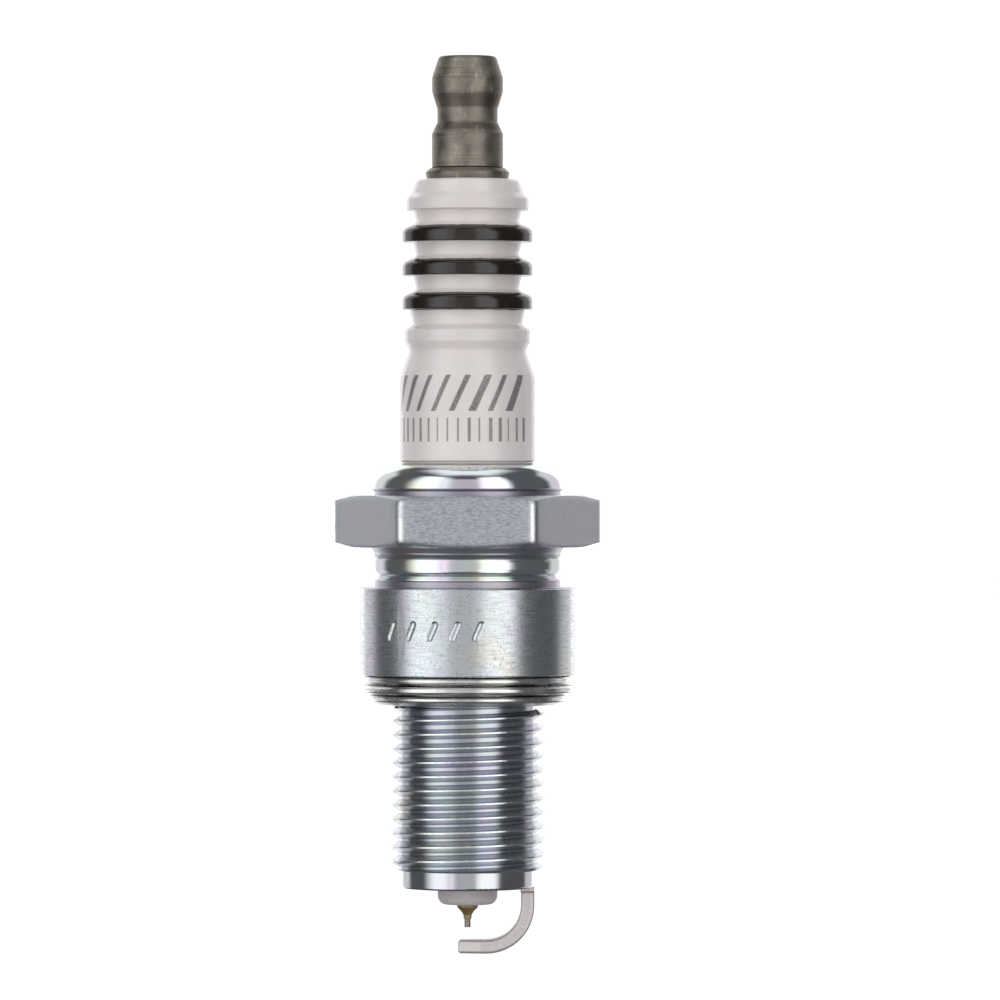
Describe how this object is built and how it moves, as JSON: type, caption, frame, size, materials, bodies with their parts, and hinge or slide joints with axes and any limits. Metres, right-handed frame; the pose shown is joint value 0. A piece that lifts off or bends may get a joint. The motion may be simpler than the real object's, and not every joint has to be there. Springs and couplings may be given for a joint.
{
  "type": "spark plug",
  "caption": "Spark plug with a threaded reach, hexagon, ribbed ceramic insulator, screw-on terminal, crush gasket and a bent ground electrode.",
  "frame": {"origin": "centre of the shell's seating face, under the barrel", "axes": "+Z along the plug's axis towards the terminal; +X towards the ground electrode's leg; a hexagon flat faces -Y"},
  "size_m": [0.0238, 0.0208, 0.08],
  "materials": {
    "nickel_plate": "satin nickel plate",
    "glazed_alumina": "gloss glaze",
    "conducting_glass": "fused copper glass, opaque",
    "resistor_body": "carbon and glass, matte",
    "nickel_alloy": "matte nickel alloy",
    "copper": "bare copper",
    "iridium": "matte iridium alloy",
    "zinc_plate": "bright zinc plate",
    "bare_steel": "plain steel",
    "talc": "packed powder",
    "gasket_steel": "bright plated sheet"
  },
  "bodies": {
    "plug": {"metal_shell": "zinc_plate", "insulator": "glazed_alumina", "terminal_stud": "nickel_plate", "upper_glass_seal": "conducting_glass", "resistor": "resistor_body", "lower_glass_seal": "conducting_glass", "center_electrode": "nickel_alloy", "copper_core": "copper", "iridium_tip": "iridium", "ground_electrode": "nickel_alloy", "packing_washer": "bare_steel", "talc_filling": "talc", "lower_wire_ring": "bare_steel", "upper_wire_ring": "bare_steel"},
    "terminal": {"terminal_nut": "nickel_plate"},
    "gasket": {"gasket": "gasket_steel"}
  },
  "joints": [
    {"name": "terminal_unscrew", "type": "slide", "parent": "plug", "child": "terminal", "axis": [0, 0, 1], "range_m": [0, 0.012]},
    {"name": "gasket_turn", "type": "hinge", "parent": "plug", "child": "gasket", "pos_m": [0, 0, -0.0013], "axis": [0, 0, 1], "continuous": true}
  ]
}
